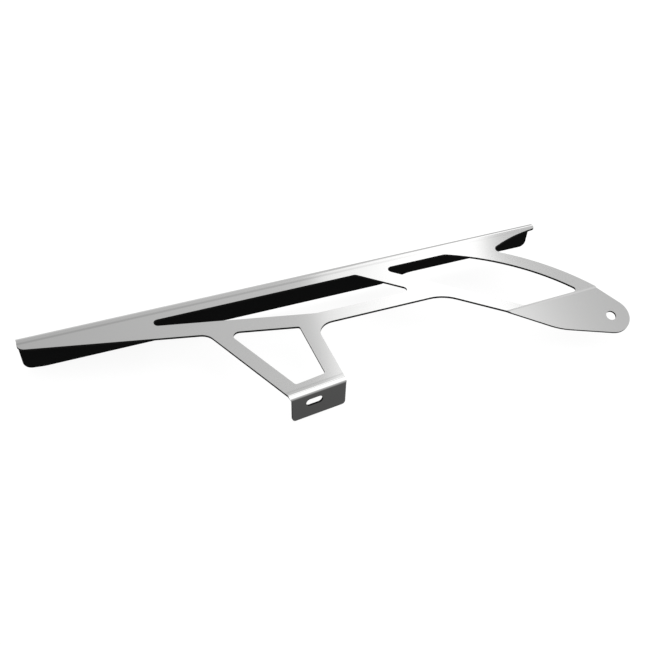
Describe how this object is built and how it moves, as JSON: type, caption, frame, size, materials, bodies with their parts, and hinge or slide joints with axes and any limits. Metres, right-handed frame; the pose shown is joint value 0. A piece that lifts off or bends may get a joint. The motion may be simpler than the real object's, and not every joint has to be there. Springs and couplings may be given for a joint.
{
  "type": "motorcycle chain guard",
  "caption": "Truss-cut sheet metal chain guard with a long folded flange, a slotted bracket tab and a bent rear ear with a bolt hole.",
  "frame": {"origin": "centre of the bounding box's bottom, on the plane that the flange's foot touches when the panel lies level", "axes": "+X along the long fold towards the ear, +Y across the panel towards the flange, +Z out of the panel's face"},
  "size_m": [0.401, 0.1208, 0.03],
  "materials": {
    "guard_sheet": "satin brushed face, black coat on the inner side"
  },
  "bodies": {
    "root": {"chain_guard": "guard_sheet"}
  },
  "joints": []
}
